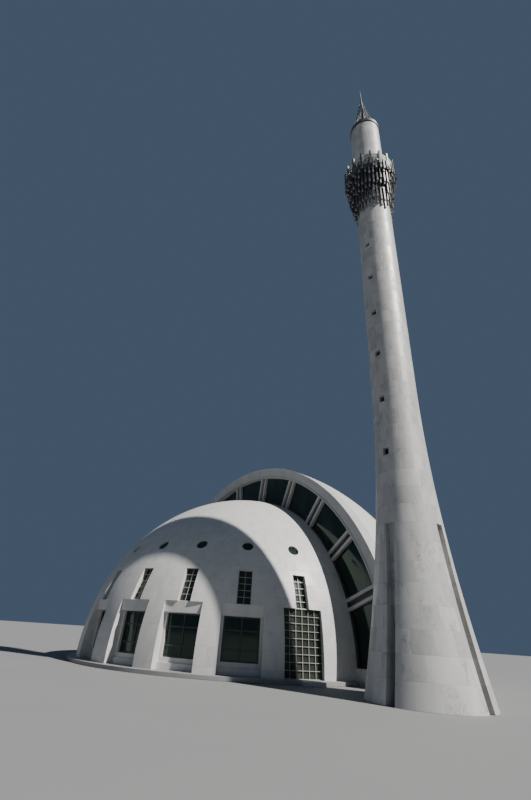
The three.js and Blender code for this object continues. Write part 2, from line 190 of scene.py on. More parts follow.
def turned_solid(profile: Sequence[Pair], sides: int) -> Shape:
    """Solid of revolution about +Z.

    A point is (r sin a, -r cos a, z), with r and z from the closed profile and a round the circle.

    Args:
        profile: Radius and height of each corner, in order round the section.
        sides: Number of steps round the circle.

    Returns:
        The closed surface.
    """
    a = np.linspace(0, 2 * math.pi, sides, endpoint=False)[None, :]
    r, z = (np.asarray(c, float)[:, None] for c in zip(*profile))
    points = points_of(r * np.sin(a), -r * np.cos(a), z)
    return surface(points, close_rows=True, close_columns=True)


def prism(outline: np.ndarray, near: float, far: float, upright: bool) -> Shape:
    """An outline carried along the axis square to it, with flat ends.

    Args:
        outline: Corners in order, in x and z where the prism lies along y, else in x and y.
        near: Where it starts along that axis.
        far: Where it ends.
        upright: Whether it is carried along z.

    Returns:
        The closed prism.
    """
    a, b = outline[:, 0], outline[:, 1]
    ends = [points_of(a, b, at) if upright else points_of(a, at, b) for at in (near, far)]
    return capped(np.stack(ends))


CORNERS = np.array([[x, y, z] for x in (-1, 1) for y in (-1, 1) for z in (-1, 1)], float)
SIDES = np.array([[0, 1, 3, 2], [4, 6, 7, 5], [0, 4, 5, 1],
                  [2, 3, 7, 6], [0, 2, 6, 4], [1, 5, 7, 3]])


def boxes(centres: np.ndarray, halves: np.ndarray, frames: np.ndarray | None = None) -> Shape:
    """Many boxes in one go: a corner is the centre plus its signed half sizes along the frame.

    Args:
        centres: One centre a row.
        halves: Half sizes along the frame's three axes, one row a box or one row for all.
        frames: One 3 x 3 array of axes a box, or None for the world's axes.

    Returns:
        All the boxes.
    """
    centres = np.atleast_2d(np.asarray(centres, float))
    count = len(centres)
    halves = np.broadcast_to(np.asarray(halves, float), (count, 3))
    frames = np.broadcast_to(np.eye(3) if frames is None else frames, (count, 3, 3))
    local = CORNERS[None] * halves[:, None]
    points = centres[:, None] + np.einsum("nci,nij->ncj", local, frames)
    faces = SIDES[None] + 8 * np.arange(count)[:, None, None]
    return Shape(points.reshape(-1, 3), (faces.reshape(-1, 4),))


def box(low: Sequence[float], high: Sequence[float]) -> Shape:
    """One box between its lowest and highest corner."""
    a, b = np.asarray(low, float), np.asarray(high, float)
    return boxes((a + b) / 2, (b - a) / 2)


def window_ring(outer: Sequence[float], inner: Sequence[float], front: float,
                back: float) -> Shape:
    """A flat rectangular ring that faces the front, such as a window's frame or its wall.

    Args:
        outer: Its outer edge as x0, z0, x1, z1.
        inner: Its opening in the same form.
        front: The y of its face.
        back: The y of its back.

    Returns:
        The closed ring, four corner loops swept round the opening.
    """
    loops = []
    for (x0, z0, x1, z1), y in ((outer, front), (inner, front), (inner, back), (outer, back)):
        loops.append([[x0, y, z0], [x1, y, z0], [x1, y, z1], [x0, y, z1]])
    return surface(np.array(loops, float), close_rows=True, close_columns=True)


def linked(name: str, data: bpy.types.ID) -> bpy.types.Object:
    """A new object with its data, linked into the scene."""
    obj = bpy.data.objects.new(name, data)
    bpy.context.scene.collection.objects.link(obj)
    return obj


def mesh_of(name: str, shape: Shape) -> bpy.types.Mesh:
    """Blender mesh of a shape, with its doubles merged and its faces turned outwards.

    Args:
        name: Name of the mesh.
        shape: The points and faces.

    Returns:
        The new mesh.
    """
    mesh = bpy.data.meshes.new(name)
    faces = [face for block in shape.faces for face in block.tolist()]
    mesh.from_pydata(shape.points.tolist(), [], faces)
    work = bmesh.new()
    work.from_mesh(mesh)
    bmesh.ops.remove_doubles(work, verts=work.verts, dist=MERGE_DISTANCE)
    bmesh.ops.recalc_face_normals(work, faces=work.faces)
    work.to_mesh(mesh)
    work.free()
    return mesh


def cut_mesh(mesh: bpy.types.Mesh, cutter: Shape) -> bpy.types.Mesh:
    """A mesh with a shape cut out of it by a Boolean that is applied at once.

    Args:
        mesh: The closed mesh to cut.
        cutter: Closed bodies that are taken away.

    Returns:
        The cut mesh under the same name.
    """
    body, tool = linked("body", mesh), linked("tool", mesh_of("tool", cutter))
    modifier = body.modifiers.new("cut", "BOOLEAN")
    modifier.operation = "DIFFERENCE"
    modifier.solver = "EXACT"
    modifier.object = tool
    graph = bpy.context.evaluated_depsgraph_get()
    result = bpy.data.meshes.new_from_object(body.evaluated_get(graph))
    name, tool_mesh = mesh.name, tool.data
    for obj in (body, tool):
        bpy.data.objects.remove(obj)
    for old in (mesh, tool_mesh):
        bpy.data.meshes.remove(old)
    result.name = name
    return result


@dataclass(frozen=True)
class Dressing:
    """Its finish and how its edges are eased, which a piece wears, and the record's slot kept with
    them.
    """

    finish: bpy.types.Material
    slot: Slot
    bevel: float = 0.0
    smooth_deg: float = 32.0

    def piece(self, name: str, shape: Shape, nodes: Iterable[str] = (),
              cutter: Shape | None = None) -> None:
        """Makes the piece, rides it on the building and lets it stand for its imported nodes.

        Args:
            name: Name of the piece.
            shape: Its points and faces.
            nodes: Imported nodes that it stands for.
            cutter: Closed bodies to take away from it.
        """
        mesh = mesh_of(name, shape)
        if cutter is not None:
            mesh = cut_mesh(mesh, cutter)
        mesh.polygons.foreach_set("use_smooth", np.ones(len(mesh.polygons), bool))
        mesh.set_sharp_from_angle(angle=math.radians(self.smooth_deg))
        mesh.materials.clear()
        mesh.materials.append(self.finish)
        obj = linked(name, mesh)
        if self.bevel:
            ease = obj.modifiers.new("eased edges", "BEVEL")
            ease.width = self.bevel
            ease.segments = 2
            ease.limit_method = "ANGLE"
            ease.angle_limit = BEVEL_FROM
            ease.harden_normals = True
        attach(obj, "root")
        if nodes:
            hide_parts(*nodes)
        LOG.info("%s: %d points, %d faces", name, len(mesh.vertices), len(mesh.polygons))


# Shader nodes


class Wire:
    """A number socket that takes part in arithmetic; each operation adds a Math node."""

    def __init__(self, painter: "Painter", socket: bpy.types.NodeSocket) -> None:
        """Wraps a socket of the painter's tree."""
        self.painter = painter
        self.socket = socket

    def maths(self, operation: str, *values: Any, swap: bool = False) -> "Wire":
        """One Math node on this wire.

        Args:
            operation: The node's operation.
            *values: Its other values, numbers or wires.
            swap: Whether this wire comes last.

        Returns:
            The node's result.
        """
        row = (*values, self) if swap else (self, *values)
        return self.painter.node("Math", {"operation": operation}, dict(enumerate(row))).wire()

    def __add__(self, other: Any) -> "Wire":
        """Sum."""
        return self.maths("ADD", other)

    def __sub__(self, other: Any) -> "Wire":
        """Difference."""
        return self.maths("SUBTRACT", other)

    def __rsub__(self, other: Any) -> "Wire":
        """Difference from a number."""
        return self.maths("SUBTRACT", other, swap=True)

    def __mul__(self, other: Any) -> "Wire":
        """Product."""
        return self.maths("MULTIPLY", other)

    def __truediv__(self, other: Any) -> "Wire":
        """Quotient."""
        return self.maths("DIVIDE", other)

    def __pow__(self, other: Any) -> "Wire":
        """Power."""
        return self.maths("POWER", other)

    def __mod__(self, other: Any) -> "Wire":
        """Remainder, never negative."""
        return self.maths("FLOORED_MODULO", other)

    __radd__ = __add__
    __rmul__ = __mul__

    def floor(self) -> "Wire":
        """Next whole number below."""
        return self.maths("FLOOR")

    def edge_distance(self) -> "Wire":
        """Distance to the nearest whole number."""
        share = self % 1.0
        return share.maths("MINIMUM", 1.0 - share)

    def band(self, low: float, high: float) -> "Wire":
        """Smooth step from 0 at low to 1 at high; high may be the smaller one."""
        settings = {"interpolation_type": "SMOOTHSTEP"}
        node = self.painter.node("MapRange", settings, {0: self, 1: low, 2: high, 3: 0.0, 4: 1.0})
        return node.wire()


@dataclass(frozen=True)
class Knot:
    """A shader node of a painter's tree."""

    painter: "Painter"
    node: bpy.types.Node

    def wire(self, output: int | str = 0) -> Wire:
        """One of the node's outputs as a wire."""
        return Wire(self.painter, self.node.outputs[output])


class Painter:
    """Builds one material's node tree round a Principled shader."""

    def __init__(self, name: str) -> None:
        """Starts an empty material of that name."""
        self.material = bpy.data.materials.new(name)
        self.material.use_nodes = True
        self.tree = self.material.node_tree
        self.tree.nodes.clear()

    def node(self, kind: str, settings: dict[str, Any] | None = None,
             inputs: dict[int | str, Any] | None = None) -> Knot:
        """Adds a shader node: first its settings, then its sockets.

        Args:
            kind: The node's type without the ShaderNode prefix.
            settings: Its properties, such as a Math node's operation.
            inputs: Values, wires or knots by socket number or name.

        Returns:
            The new node.
        """
        node = self.tree.nodes.new("ShaderNode" + kind)
        for key, value in (settings or {}).items():
            setattr(node, key, value)
        for key, value in (inputs or {}).items():
            source = value.wire() if isinstance(value, Knot) else value
            if isinstance(source, Wire):
                self.tree.links.new(source.socket, node.inputs[key])
            else:
                node.inputs[key].default_value = source
        return Knot(self, node)

    def position(self, centre: Sequence[float] = (0, 0, 0)) -> Wire:
        """Object coordinates measured from a centre."""
        coords = self.node("TexCoord").wire("Object")
        return self.node("VectorMath", {"operation": "SUBTRACT"}, {0: coords, 1: centre}).wire()

    def split(self, vector: Wire) -> tuple[Wire, Wire, Wire]:
        """The three parts of a vector."""
        knot = self.node("SeparateXYZ", None, {0: vector})
        return knot.wire(0), knot.wire(1), knot.wire(2)

    def vector(self, x: Any, y: Any, z: Any) -> Wire:
        """A vector from three numbers or wires."""
        return self.node("CombineXYZ", None, {0: x, 1: y, 2: z}).wire()

    def stretched(self, vector: Wire, scale: Sequence[float], shift: Any = (0, 0, 0)) -> Wire:
        """A vector multiplied part by part and then shifted."""
        settings = {"operation": "MULTIPLY_ADD"}
        return self.node("VectorMath", settings, {0: vector, 1: scale, 2: shift}).wire()

    def noise(self, vector: Wire, scale: float, detail: float = 4.0,
              distortion: float = 0.0, roughness: float = 0.55) -> Wire:
        """Soft noise from 0 to 1."""
        inputs = {"Vector": vector, "Scale": scale, "Detail": detail, "Roughness": roughness,
                  "Distortion": distortion}
        return self.node("TexNoise", None, inputs).wire(0)

    def blend(self, share: Wire | float, first: Any, second: Any) -> Wire:
        """First colour where the share is 0, second where it is 1."""
        row = {0: share, 6: self.colour(first), 7: self.colour(second)}
        return self.node("Mix", {"data_type": "RGBA"}, row).wire(2)

    @staticmethod
    def colour(value: Any) -> Any:
        """A colour of three numbers with its alpha, or a wire as it is."""
        return value if isinstance(value, Wire) else (*value, 1.0)

    def finished(self, inputs: dict[str, Any], height: Wire | None = None,
                 depth: float = 0.0) -> bpy.types.Material:
        """Closes the tree with a Principled shader.

        Args:
            inputs: Values or wires of the shader's sockets.
            height: Relief from 0 to 1 for the bump, if any.
            depth: How deep that relief is, in metres.

        Returns:
            The material.
        """
        row = dict(inputs)
        if height is not None:
            bump = {"Height": height, "Distance": depth, "Strength": 1.0}
            row["Normal"] = self.node("Bump", None, bump).wire()
        shader = self.node("BsdfPrincipled", None, row)
        self.node("OutputMaterial", None, {0: shader})
        return self.material


@dataclass(frozen=True)
class Marble:
    """White marble with grey clouds and veins, cut into panels with fine joints."""

    light: Colour = (0.63, 0.625, 0.605)
    cloud: Colour = (0.52, 0.52, 0.515)
    vein: Colour = (0.36, 0.365, 0.37)
    joint: Colour = (0.24, 0.24, 0.24)
    joint_half: float = 0.004
    joint_share: float = 0.30
    relief: float = 0.002
    plain: float = 0.2
    patches: float = 0.22
    stain: float = 0.18
    veined: float = 0.5
    row_h: float = 0.66
    column_w: float = 1.15
    slab: float = 0.9
    slab_ring: float = 9.0
    slab_shift: Pair = (0.37, 0.11)

    def dress(self, paint: Painter, row: Wire, column: Wire, row_size: Wire | float,
              column_size: Wire | float) -> bpy.types.Material:
        """Paints panelled marble from panel coordinates.

        Args:
            paint: The material's painter.
            row: Height in panels, whole numbers on the ring joints.
            column: Way round in panels, already staggered.
            row_size: A panel's height in metres.
            column_size: A panel's width in metres.

        Returns:
            The finished material.
        """
        panel = paint.vector(row.floor(), column.floor(), 0.0)
        tone = paint.node("TexWhiteNoise", {"noise_dimensions": "3D"}, {0: panel})
        drift = paint.stretched(tone.wire(1), (9.0, 9.0, 9.0))
        place = paint.stretched(paint.position(), (1.5, 1.5, 0.8), drift)
        clouds = paint.noise(place, 0.9, detail=6.0, distortion=0.9).band(0.38, 0.72)
        folds = paint.noise(place, 1.7, detail=7.0, distortion=1.6, roughness=0.6)
        veins = (folds - 0.5).maths("ABSOLUTE").band(0.03, 0.0) * clouds.band(0.1, 0.9)
        aside = column.edge_distance() * column_size
        gap = (row.edge_distance() * row_size).maths("MINIMUM", aside)
        joints = gap.band(self.joint_half * 2.2, self.joint_half * 0.6)
        stone = paint.blend(clouds * 0.6, self.light, self.cloud)
        stone = paint.blend(veins * self.veined, stone, self.vein)
        over = (tone.wire(0) - self.plain).maths("MAXIMUM", 0.0)
        stone = paint.blend(over * (self.patches / (1 - self.plain)), stone, self.cloud)
        runs = paint.stretched(paint.position(), (1.0, 1.0, 0.25))
        stains = paint.noise(runs, 0.8, detail=3.0).band(0.5, 0.8)
        stone = paint.blend(stains * self.stain, stone, self.vein)
        base = paint.blend(joints * self.joint_share, stone, self.joint)
        grain = paint.noise(place, 60.0, detail=2.0)
        height = (1.0 - joints) * 0.9 + grain * 0.06
        rough = 0.42 + clouds * 0.12 + joints * 0.3
        return paint.finished({"Base Color": base, "Roughness": rough}, height, self.relief)

    def on_dome(self, name: str, radius: float, centre_z: float) -> bpy.types.Material:
        """Panels in level rings on a dome.

        The row is the elevation times the radius, in panel heights. The column is the azimuth
        times a whole number of panels for that ring, shifted by half a panel on every other ring.

        Args:
            name: Name of the material.
            radius: Radius of the dome.
            centre_z: Height of its centre.

        Returns:
            The finished material.
        """
        paint = Painter(name)
        x, y, z = paint.split(paint.position((0, 0, centre_z)))
        level = (x * x + y * y) ** 0.5
        row = z.maths("ARCTAN2", level) * (radius / self.row_h)
        middle = ((row.floor() + 0.5) * (self.row_h / radius)).maths("COSINE") * radius
        count = (middle * (2 * math.pi / self.column_w)).maths("ROUND").maths("MAXIMUM", 4.0)
        share = x.maths("ARCTAN2", 0.0 - y) / (2 * math.pi)
        column = share * count + (row.floor() % 2.0) * 0.5
        return self.dress(paint, row, column, self.row_h, 2 * math.pi * middle / count)

    def on_tower(self, name: str, centre: Pair, count: int) -> bpy.types.Material:
        """Panels in level rings on the minaret, a fixed number round each.

        Args:
            name: Name of the material.
            centre: The minaret's axis in plan.
            count: Number of panels round a ring.

        Returns:
            The finished material.
        """
        paint = Painter(name)
        x, y, z = paint.split(paint.position((*centre, 0)))
        level = (x * x + y * y) ** 0.5
        row = z / self.row_h
        turn = x.maths("ARCTAN2", 0.0 - y) * (count / (2 * math.pi))
        column = turn + (row.floor() % 2.0) * 0.5
        return self.dress(paint, row, column, self.row_h, level * (2 * math.pi / count))

    def on_flat(self, name: str) -> bpy.types.Material:
        """Slabs on flat work, in rings round the axis of the domes.

        The row is the azimuth, in slabs of a ring of a given radius, and the column is the
        distance from the axis, in slabs.

        Args:
            name: Name of the material.

        Returns:
            The finished material.
        """
        paint = Painter(name)
        x, y, _ = paint.split(paint.position())
        turn = x.maths("ARCTAN2", 0.0 - y) * (self.slab_ring / self.slab)
        out = (x * x + y * y) ** 0.5 / self.slab
        shift_row, shift_column = self.slab_shift
        return self.dress(paint, turn + shift_row, out + shift_column, self.slab, self.slab)


@dataclass(frozen=True)
class ArchStone:
    """Smooth pale grey facing of the arches and ribs, in segments along the curve; being darker
    than the domes' marble, the grey is painted shade.
    """

    # light and dark sit well below the marble's colours: painted shade on the arch faces and ribs.
    light: Colour = (0.47, 0.475, 0.475)
    dark: Colour = (0.36, 0.37, 0.38)
    joint: Colour = (0.16, 0.16, 0.16)
    segment: float = 1.3
    radius: float = 11.0

    def build(self, name: str) -> bpy.types.Material:
        """The material, its joints at even steps round the standing arch."""
        paint = Painter(name)
        x, _, z = paint.split(paint.position((0, 0, REAR_Z)))
        step = z.maths("ARCTAN2", x) * (self.radius / self.segment)
        joints = (step.edge_distance() * self.segment).band(0.012, 0.004)
        cloud = paint.noise(paint.position(), 1.1, detail=5.0, distortion=0.4).band(0.35, 0.75)
        grain = paint.noise(paint.position(), 45.0, detail=2.0)
        base = paint.blend(cloud * 0.7, self.light, self.dark)
        base = paint.blend(joints * 0.5, base, self.joint)
        height = (1.0 - joints) * 0.9 + grain * 0.08
        return paint.finished({"Base Color": base, "Roughness": 0.52 + cloud * 0.12}, height, 0.004)


@dataclass(frozen=True)
class TintedGlass:
    """Dark green tinted glass with faint streaks of dust."""

    tint: Colour = (0.012, 0.020, 0.017)
    dust: Colour = (0.05, 0.062, 0.055)
    shine: float = 0.48
    shine_tint: Colour = (0.74, 1.0, 0.86)

    def build(self, name: str) -> bpy.types.Material:
        """The material."""
        paint = Painter(name)
        runs = paint.stretched(paint.position(), (1.0, 1.0, 0.35))
        haze = paint.noise(runs, 0.7, distortion=0.3).band(0.42, 0.8)
        return paint.finished({
            "Base Color": paint.blend(haze * 0.5, self.tint, self.dust),
            "Roughness": 0.05 + haze * 0.10, "Specular IOR Level": self.shine,
            "Specular Tint": paint.colour(self.shine_tint)})


@dataclass(frozen=True)
class PaintedMetal:
    """Painted or weathered metal: one colour that drifts to another, duller where it is worn."""

    colour: Colour
    worn: Colour
    roughness: float = 0.42
    metallic: float = 0.0

    def build(self, name: str) -> bpy.types.Material:
        """The material."""
        paint = Painter(name)
        wear = paint.noise(paint.position(), 3.2, detail=5.0, distortion=0.2).band(0.4, 0.75)
        brushed = paint.stretched(paint.position(), (1.0, 1.0, 0.2))
        grain = paint.noise(brushed, 40.0, detail=2.0)
        row = {"Base Color": paint.blend(wear * 0.8, self.colour, self.worn),
               "Roughness": self.roughness + wear * 0.18, "Metallic": self.metallic}
        return paint.finished(row, grain, 0.0006)


class Finishes:
    """Every material of the building, built once."""

    def __init__(self) -> None:
        """Builds the materials."""
        stone = Marble()
        self.front_marble = stone.on_dome("front dome marble", FRONT_R, FRONT_Z)
        self.rear_marble = stone.on_dome("rear dome marble", REAR_R, REAR_Z)
        self.flat_marble = stone.on_flat("bay wall marble")
        weathered = Marble(light=(0.56, 0.555, 0.54), cloud=(0.37, 0.37, 0.365),
                           vein=(0.24, 0.24, 0.24), patches=0.65, stain=0.30, veined=0.9,
                           row_h=0.67)
        self.tower_marble = weathered.on_tower("minaret marble", TOWER_CENTRE, count=16)
        # The kerb's colours are far darker than the hall's marble: partly a darker stone, partly
        # painted shade for its side faces.
        kerb = Marble(light=(0.29, 0.29, 0.285), cloud=(0.22, 0.22, 0.218), joint_share=0.5)
        self.kerb = kerb.on_flat("kerb stone")
        self.arch = ArchStone().build("arch facing")
        self.glass = TintedGlass().build("tinted glass")
        dusty = TintedGlass(tint=(0.030, 0.036, 0.030), dust=(0.085, 0.09, 0.078))
        self.dusty_glass = dusty.build("dusty glass")
        bars = PaintedMetal((0.40, 0.40, 0.375), (0.29, 0.29, 0.27))
        self.bars = bars.build("painted bars")
        frames = PaintedMetal((0.035, 0.036, 0.038), (0.06, 0.06, 0.06))
        self.frames = frames.build("window frame paint")
        rods = PaintedMetal((0.085, 0.087, 0.093), (0.17, 0.17, 0.175), metallic=0.35)
        self.rods = rods.build("balcony metal")
        rails = PaintedMetal((0.36, 0.40, 0.37), (0.28, 0.32, 0.30), roughness=0.3)
        self.rail_panels = rails.build("railing panel")
        ends = PaintedMetal((0.22, 0.22, 0.22), (0.14, 0.14, 0.14), roughness=0.45)
        self.rod_ends = ends.build("rod end paint")


# The hall


@dataclass(frozen=True)
class BaySizes:
    """Sizes that the bays of both domes share.

    Heights count from the ground. A depth counts inwards, from the front of the sphere for the
    wall and the screen, and from the dome's surface for the slot and the oculus. The window's
    depths count outwards from the back of the wall.
    """

    half: float = 0.875
    top: float = PLINTH_TOP + 2.50
    below: float = -2.0
    cut_out: float = 0.8
    cut_in: float = 1.6
    wall_depth: float = 0.51
    wall_t: float = 0.24
    ring_set_back: float = 0.03
    jamb: float = 0.11
    step_top: float = PLINTH_TOP + 0.24
    step_proud: float = 0.07
    sill: float = PLINTH_TOP + 0.42
    lintel: float = PLINTH_TOP + 2.04
    head_proud: float = 0.14
    lap: float = 0.02
    frame: float = 0.055
    frame_depth: Pair = (0.10, 0.03)
    transoms: Pair = (PLINTH_TOP + 1.53, PLINTH_TOP + 0.84)
    bar_half_t: float = 0.028
    pane_depth: float = 0.06
    pane_t: float = 0.012
    oculus_r: float = 0.27
    oculus_z: float = PLINTH_TOP + 5.05
    oculus_depth: float = 0.10
    slot_half: float = 0.30
    slot_top: float = PLINTH_TOP + 3.87
    slot_depth: float = 0.15
    slot_pane_depth: float = 0.23
    slot_meshes: tuple[int, int] = (2, 5)
    screen_depth: float = 0.205
    screen_pane_depth: float = 0.25
    screen_slot_depth: float = 0.16
    screen_lean: float = 0.085
    screen_meshes: tuple[int, int] = (6, 9)
    bar: float = 0.019
    rail_share: float = 0.9


@dataclass(frozen=True)
class Dome:
    """Half dome of a sphere, cut by an upright plane, with bays cut through its shell."""

    name: str
    radius: float
    centre_z: float
    cut: float
    facing: float
    bays: tuple[float, ...]
    thickness: float = 0.58
    rows: int = 64
    columns: int = 176
    bay: BaySizes = BaySizes()

    def skin(self, radius: float) -> np.ndarray:
        """Points of one of the dome's two surfaces.

        Rows go up by even steps of elevation from the plinth to where the cut plane meets the
        top. A row's columns are even steps of azimuth between the two points where that level
        meets the cut plane, arccos(cut / level radius) to either side.

        Args:
            radius: Radius of that surface.

        Returns:
            Rows x columns x 3 points, facing the front.
        """
        low = math.asin((PLINTH_TOP - self.centre_z) / radius)
        high = math.acos(self.cut / radius)
        rise = np.linspace(low, high, self.rows)[:, None]
        side = np.linspace(-1, 1, self.columns)[None, :]
        level = radius * np.cos(rise)
        a = side * np.arccos(np.minimum(1.0, self.cut / level))
        z = self.centre_z + radius * np.sin(rise)
        return points_of(level * np.sin(a), -level * np.cos(a), z)

    @staticmethod
    def rim(skin: np.ndarray) -> np.ndarray:
        """The closed edge of a surface: along its foot, up its right side and down its left."""
        return np.concatenate([skin[0], skin[1:, -1], skin[-2:0:-1, 0]])

    def shell(self) -> Shape:
        """The closed shell: outer surface, inner surface and the strip that joins their edges."""
        outer, inner = self.skin(self.radius), self.skin(self.radius - self.thickness)
        strip = surface(np.stack([self.rim(outer), self.rim(inner)]), close_columns=True)
        whole = joined([surface(outer), surface(inner[::-1]), strip])
        return whole.turned(self.facing)

    def oculus(self, r: float, near: float, far: float, sides: int = 40) -> Shape:
        """A round bar on the axis of an oculus, square to the sphere.

        Args:
            r: Its radius.
            near: Distance of its outer end from the sphere, outwards.
            far: Distance of its inner end, inwards.
            sides: Steps round it.

        Returns:
            The closed bar, facing the front.
        """
        rise = math.asin((self.bay.oculus_z - self.centre_z) / self.radius)
        along = np.array([0, -math.cos(rise), math.sin(rise)])
        across = np.array([0, math.sin(rise), math.cos(rise)])
        t = np.linspace(0, 2 * math.pi, sides, endpoint=False)[:, None]
        ring = r * (np.cos(t) * np.array([1.0, 0, 0]) + np.sin(t) * across)
        ends = [ring + along * d for d in (self.radius + near, self.radius - far)]
        return capped(np.stack(ends)).moved((0, 0, self.centre_z))

    def openings(self) -> Shape:
        """What the bays take out: an opening with a narrow slot on it, and an oculus, each."""
        b = self.bay
        right = [(b.half, b.below), (b.half, b.top),
                 (b.slot_half, b.top), (b.slot_half, b.slot_top)]
        outline = np.array([*right, *((-x, z) for x, z in right[::-1])])
        hole = prism(outline, -self.radius - b.cut_out, -self.radius + b.cut_in, upright=False)
        return repeated(joined([hole, self.oculus(b.oculus_r, b.cut_out, b.cut_in)]), self.bays)

    def surface_y(self, z: float) -> float:
        """The y of the outer surface on a bay's middle line at a height."""
        return -math.sqrt(self.radius ** 2 - (z - self.centre_z) ** 2)

    def lattice(self, half: float, line: Line, columns: int, rows: int) -> Shape:
        """A lattice of square bars in a leaning plane.

        Args:
            half: Half its width.
            line: The y and z of its lower and of its upper edge.
            columns: Number of meshes across.
            rows: Number of meshes up.

        Returns:
            All bars, facing the front.
        """
        foot, head = (np.array([0.0, *end]) for end in line)
        length = float(np.linalg.norm(head - foot))
        up = (head - foot) / length
        frame = np.stack([np.array([1.0, 0, 0]), np.cross(up, [1.0, 0, 0]), up])
        w = self.bay.bar / 2
        x = np.linspace(-half + w, half - w, columns + 1)[:, None]
        share = np.linspace(w / length, 1 - w / length, rows + 1)[:, None]
        posts = boxes((foot + head) / 2 + x * frame[0], (w, w, length / 2), frame)
        rails = boxes(foot + share * (head - foot), (half, w * self.bay.rail_share, w), frame)
        return joined([posts, rails])

    def pane(self, half: float, line: Line) -> Shape:
        """Thin sheet of glass in a leaning plane, given as for a lattice."""
        (y0, z0), (y1, z1) = line
        t = self.bay.pane_t
        outline = [(y0, z0), (y1, z1), (y1 + t, z1), (y0 + t, z0)]
        return capped(np.array([[(x, y, z) for y, z in outline] for x in (-half, half)], float))

    def slot_line(self, depth: float) -> Line:
        """Foot and head of the narrow slot, at a depth behind the dome's surface."""
        low, high = self.bay.top, self.bay.slot_top
        return (self.surface_y(low) + depth, low), (self.surface_y(high) + depth, high)

    def screen_line(self, depth: float) -> Line:
        """Foot and head of a screened bay, at a depth behind the front of the sphere."""
        b = self.bay
        y = -self.radius + depth
        return (y, PLINTH_TOP), (y + b.screen_lean * (b.top - PLINTH_TOP), b.top)

    def build(self, marble: Dressing, nodes: Iterable[str]) -> None:
        """Makes the shell.

        Args:
            marble: Its dressing.
            nodes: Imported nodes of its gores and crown.
        """
        marble.piece(f"{self.name}_dome_shell", self.shell(), nodes, self.openings())


@dataclass(frozen=True)
class BayFill:
    """What closes the bays of a dome: walls with windows, lattices in the slots, round panes."""

    dome: Dome
    screened: tuple[float, ...] = ()

    @property
    def walled(self) -> list[float]:
        """Azimuths of the bays with a wall and a window."""
        return [az for az in self.dome.bays if az not in self.screened]

    def wall(self) -> Shape:
        """Wall of a bay: sill and jambs, a proud step under the sill and a proud lintel."""
        b = self.dome.bay
        face = -self.dome.radius + b.wall_depth
        side, back = b.half - b.jamb, face + b.ring_set_back
        ring = window_ring((-b.half, PLINTH_TOP, b.half, b.top), (-side, b.sill, side, b.lintel),
                           back, face + b.wall_t)
        step = box((-b.half, face - b.step_proud, PLINTH_TOP), (b.half, back, b.step_top))
        head = box((-b.half, face - b.head_proud, b.lintel + b.lap), (b.half, back, b.top))
        return joined([ring, step, head])

    def window(self) -> Shape:
        """Dark frame of a window with a mullion and two transoms."""
        b = self.dome.bay
        near, far = (-self.dome.radius + b.wall_depth + b.wall_t - d for d in b.frame_depth)
        side, w = b.half - b.jamb + b.lap, b.frame
        outer = (-side, b.sill - b.lap, side, b.lintel + b.lap)
        inner = (-side + w + b.lap, b.sill + w, side - w - b.lap, b.lintel - w)
        centres = points_of(0.0, (near + far) / 2, [(b.sill + b.lintel) / 2, *b.transoms])
        tall = (b.lintel - b.sill) / 2
        halves = points_of([w / 2, side, side], b.bar_half_t, [tall, w / 2, w / 2])
        return joined([window_ring(outer, inner, near, far), boxes(centres, halves)])

    def pane(self) -> Shape:
        """Sheet of glass in the middle of a window's frame."""
        b = self.dome.bay
        y = -self.dome.radius + b.wall_depth + b.wall_t - b.pane_depth
        side = b.half - b.jamb
        return box((-side, y, b.sill), (side, y + b.pane_t, b.lintel))

    def screen(self) -> Shape:
        """Tall lattice that fills a whole bay, and the lattice in the slot over it."""
        dome, b = self.dome, self.dome.bay
        wide = dome.lattice(b.half, dome.screen_line(b.screen_depth), *b.screen_meshes)
        narrow = dome.lattice(b.slot_half, dome.slot_line(b.screen_slot_depth), *b.slot_meshes)
        return joined([wide, narrow])

    def build(self, prefix: str, wear: Finishes, walls: Sequence[str],
              screens: Sequence[str]) -> None:
        """Makes all the pieces that close the bays.

        Args:
            prefix: Start of the pieces' names.
            wear: The finishes.
            walls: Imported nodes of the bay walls.
            screens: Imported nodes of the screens.
        """
        dome, b = self.dome, self.dome.bay
        light = Dressing(wear.bars, Slot.SCREEN)
        Dressing(wear.flat_marble, Slot.MARBLE, bevel=0.006).piece(
            f"{prefix}_bay_walls", repeated(self.wall(), self.walled), walls)
        Dressing(wear.frames, Slot.DARK_METAL, bevel=0.004).piece(
            f"{prefix}_window_frames", repeated(self.window(), self.walled))
        lattice = dome.lattice(b.slot_half, dome.slot_line(b.slot_depth), *b.slot_meshes)
        light.piece(f"{prefix}_slot_lattices", repeated(lattice, self.walled))
        behind = [repeated(dome.pane(b.slot_half, dome.slot_line(b.slot_pane_depth)), dome.bays)]
        if self.screened:
            pane = dome.pane(b.half, dome.screen_line(b.screen_pane_depth))
            behind.append(repeated(pane, self.screened))
            light.piece(f"{prefix}_grid_screens", repeated(self.screen(), self.screened), screens)
        eye = dome.oculus(b.oculus_r, -b.oculus_depth, b.oculus_depth + b.pane_t)
        panes = joined([repeated(self.pane(), self.walled), repeated(eye, dome.bays)])
        Dressing(wear.glass, Slot.GLASS).piece(f"{prefix}_panes", panes)
        Dressing(wear.dusty_glass, Slot.GLASS).piece(f"{prefix}_lattice_panes", joined(behind))


